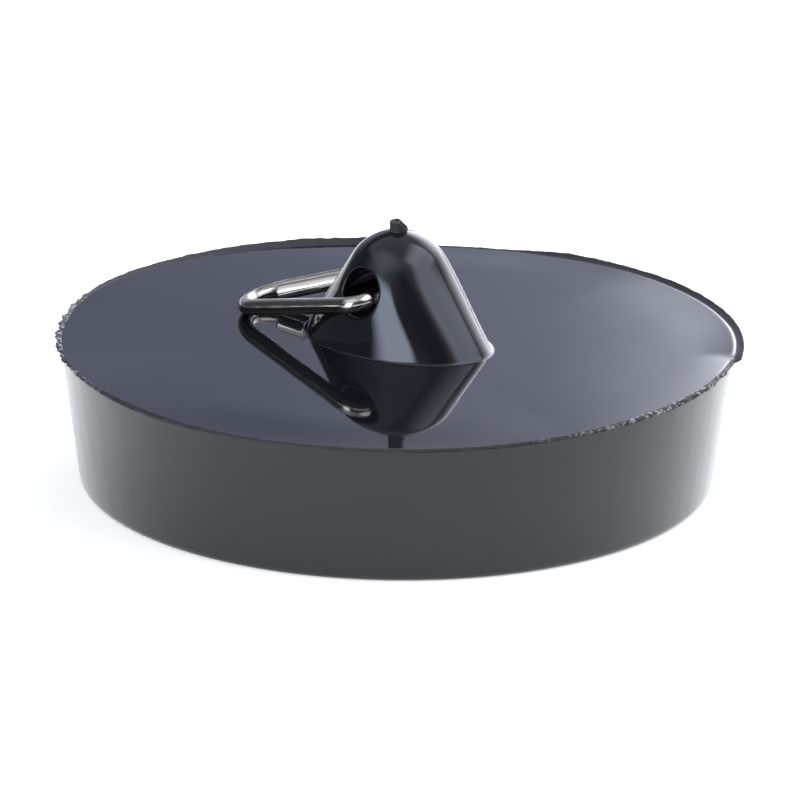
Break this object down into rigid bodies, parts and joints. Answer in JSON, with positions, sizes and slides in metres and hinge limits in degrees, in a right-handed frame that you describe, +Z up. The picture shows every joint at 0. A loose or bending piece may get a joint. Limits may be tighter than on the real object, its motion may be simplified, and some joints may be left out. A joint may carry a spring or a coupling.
{
  "type": "drain stopper",
  "caption": "Tapered black rubber sink and bath plug with a domed oval knob, and a loose bent-wire ring through the knob that swings over it to take a chain.",
  "frame": {"origin": "centre of the underside, on the plane that the skirt stands on", "axes": "+Z up through the knob, Y along the knob's cross hole, the ring lies down towards -X at rest"},
  "size_m": [0.048, 0.048, 0.0184],
  "materials": {
    "rubber": "moulded black rubber, glossy on the top and knob, satin on the tapered wall",
    "steel": "bright polished steel wire"
  },
  "bodies": {
    "plug": {"plug_body": "rubber"},
    "ring": {"pull_ring": "steel"}
  },
  "joints": [
    {"name": "ring_swing", "type": "hinge", "parent": "plug", "child": "ring", "pos_m": [-0.0001, 0, 0.01385], "axis": [-0.164, 0.9861, 0.0252], "range_deg": [0, 209]}
  ]
}
